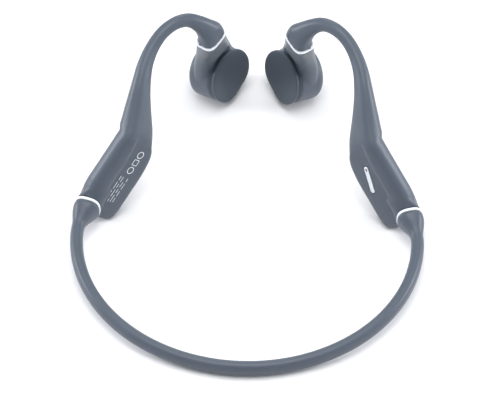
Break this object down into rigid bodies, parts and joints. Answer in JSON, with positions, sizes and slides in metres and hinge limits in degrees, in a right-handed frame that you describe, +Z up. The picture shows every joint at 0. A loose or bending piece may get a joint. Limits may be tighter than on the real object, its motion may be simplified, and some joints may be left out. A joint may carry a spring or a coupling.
{
  "type": "bone conduction headphones",
  "caption": "Open-ear bone conduction headphones: a sprung neckband, two housings behind the ears, ear hooks and pods with vibrating pads.",
  "frame": {"origin": "centre of the bounding box's footprint, on the surface the headphones lie on", "axes": "+X to the wearer's right, +Y forward from the neckband to the pads, +Z up"},
  "size_m": [0.1276, 0.1472, 0.0567],
  "materials": {
    "slate_silicone": "soft satin, moulded",
    "pad_silicone": "soft matte, moulded",
    "white_plastic": "satin white with a cool tint",
    "sprung_titanium": "drawn titanium alloy wire",
    "cable_jacket": "smooth black jacket",
    "black_plastic": "fine matte",
    "copper_coil": "enamelled copper winding",
    "circuit_board": "green solder mask",
    "battery_foil": "crinkled pouch foil",
    "satin_silver": "satin plated",
    "plated_steel": "pressed and plated"
  },
  "bodies": {
    "neckband": {"neckband_sleeve": "slate_silicone", "neckband_wire": "sprung_titanium", "neckband_cable": "cable_jacket"},
    "left_arm": {"left_side_sleeve": "slate_silicone", "left_side_wire": "sprung_titanium", "left_side_cable": "cable_jacket", "left_boot_ring": "white_plastic", "left_housing_shell": "slate_silicone", "left_housing_cover": "slate_silicone", "left_hook_sleeve": "slate_silicone", "left_hook_wire": "sprung_titanium", "left_hook_cable": "cable_jacket", "left_pod_ring": "white_plastic", "left_pod_shell": "slate_silicone", "left_flexure_plate": "plated_steel", "left_transducer_yoke": "plated_steel", "left_magnet": "satin_silver", "left_wire_anchor": "plated_steel", "battery": "battery_foil", "battery_board": "circuit_board", "button_board": "circuit_board", "button_switch": "plated_steel"},
    "right_arm": {"right_side_sleeve": "slate_silicone", "right_side_wire": "sprung_titanium", "right_side_cable": "cable_jacket", "right_boot_ring": "white_plastic", "right_housing_shell": "slate_silicone", "right_housing_cover": "slate_silicone", "right_hook_sleeve": "slate_silicone", "right_hook_wire": "sprung_titanium", "right_hook_cable": "cable_jacket", "right_pod_ring": "white_plastic", "right_pod_shell": "slate_silicone", "right_flexure_plate": "plated_steel", "right_transducer_yoke": "plated_steel", "right_magnet": "satin_silver", "right_wire_anchor": "plated_steel", "main_board": "circuit_board", "bluetooth_shield": "plated_steel", "antenna": "satin_silver", "charging_strip": "satin_silver", "charging_magnets": "satin_silver"},
    "left_transducer": {"left_pad": "pad_silicone", "left_pad_carrier": "black_plastic", "left_voice_coil": "copper_coil"},
    "right_transducer": {"right_pad": "pad_silicone", "right_pad_carrier": "black_plastic", "right_voice_coil": "copper_coil"},
    "multifunction_button": {"multifunction_button": "slate_silicone"},
    "volume_down_button": {"volume_down_button": "slate_silicone"},
    "volume_up_button": {"volume_up_button": "slate_silicone"}
  },
  "joints": [
    {"name": "right_arm_flex", "type": "hinge", "parent": "neckband", "child": "right_arm", "pos_m": [0.05157, -0.05038, 0.00525], "axis": [0, 0, -1], "range_deg": [-1, 34], "stiffness_Nm_per_rad": 0.25},
    {"name": "left_arm_flex", "type": "hinge", "parent": "neckband", "child": "left_arm", "pos_m": [-0.05157, -0.05038, 0.00525], "axis": [0, 0, 1], "range_deg": [-1, 34], "stiffness_Nm_per_rad": 0.25},
    {"name": "right_pad_vibration", "type": "slide", "parent": "right_arm", "child": "right_transducer", "axis": [-0.7874, -0.5514, 0.2756], "range_m": [-0.00015, 0.00015], "stiffness_N_per_m": 20000},
    {"name": "left_pad_vibration", "type": "slide", "parent": "left_arm", "child": "left_transducer", "axis": [0.7874, -0.5514, 0.2756], "range_m": [-0.00015, 0.00015], "stiffness_N_per_m": 20000},
    {"name": "multifunction_press", "type": "slide", "parent": "left_arm", "child": "multifunction_button", "axis": [0.7874, -0.5514, 0.2756], "range_m": [0, 0.0003], "stiffness_N_per_m": 4000},
    {"name": "volume_down_press", "type": "slide", "parent": "right_arm", "child": "volume_down_button", "axis": [0.6243, -0.3138, 0.7154], "range_m": [0, 0.0003], "stiffness_N_per_m": 4000},
    {"name": "volume_up_press", "type": "slide", "parent": "right_arm", "child": "volume_up_button", "axis": [0.6243, -0.3138, 0.7154], "range_m": [0, 0.0003], "stiffness_N_per_m": 4000}
  ]
}
